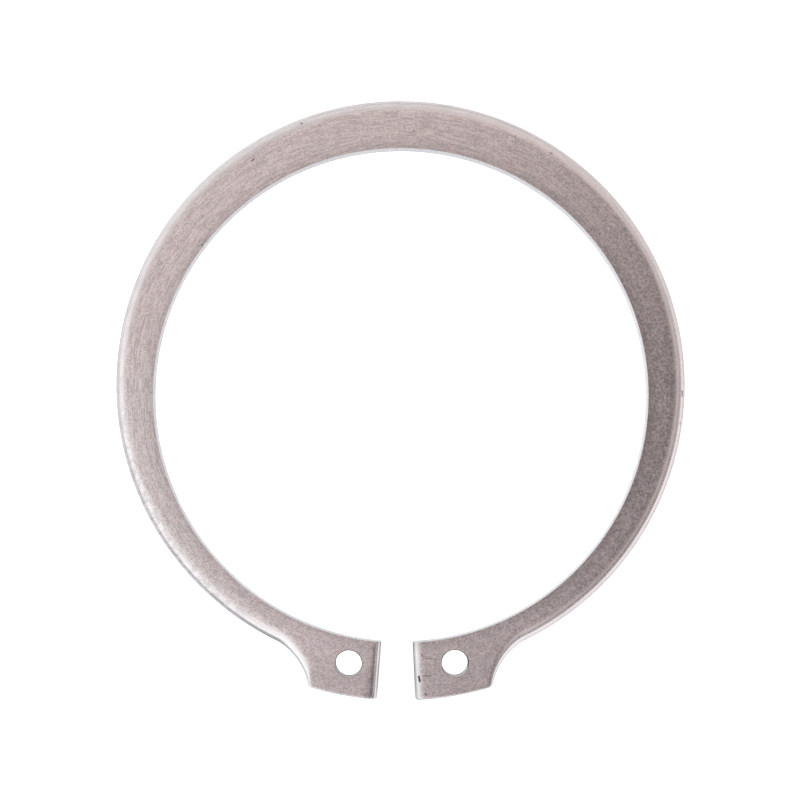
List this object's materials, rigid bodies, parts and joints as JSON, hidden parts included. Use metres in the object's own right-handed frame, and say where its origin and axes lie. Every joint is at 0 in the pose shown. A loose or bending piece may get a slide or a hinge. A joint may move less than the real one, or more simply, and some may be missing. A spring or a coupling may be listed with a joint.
{
  "type": "circlip retaining ring",
  "caption": "Open spring steel retaining ring for a shaft groove, with a tapered body and a lug with a plier hole on each side of the gap.",
  "frame": {"origin": "on the ring axis, at the lower face that the ring rests on", "axes": "+Z along the ring axis, up through the face with the rounded rim; -Y from the axis towards the gap between the lugs; +X to the right when seen from above with the gap in front"},
  "size_m": [0.0754, 0.0796, 0.0025],
  "materials": {
    "ring": "satin, tumbled, with a fine mottled grain"
  },
  "bodies": {
    "root": {"ring": "ring"}
  },
  "joints": []
}
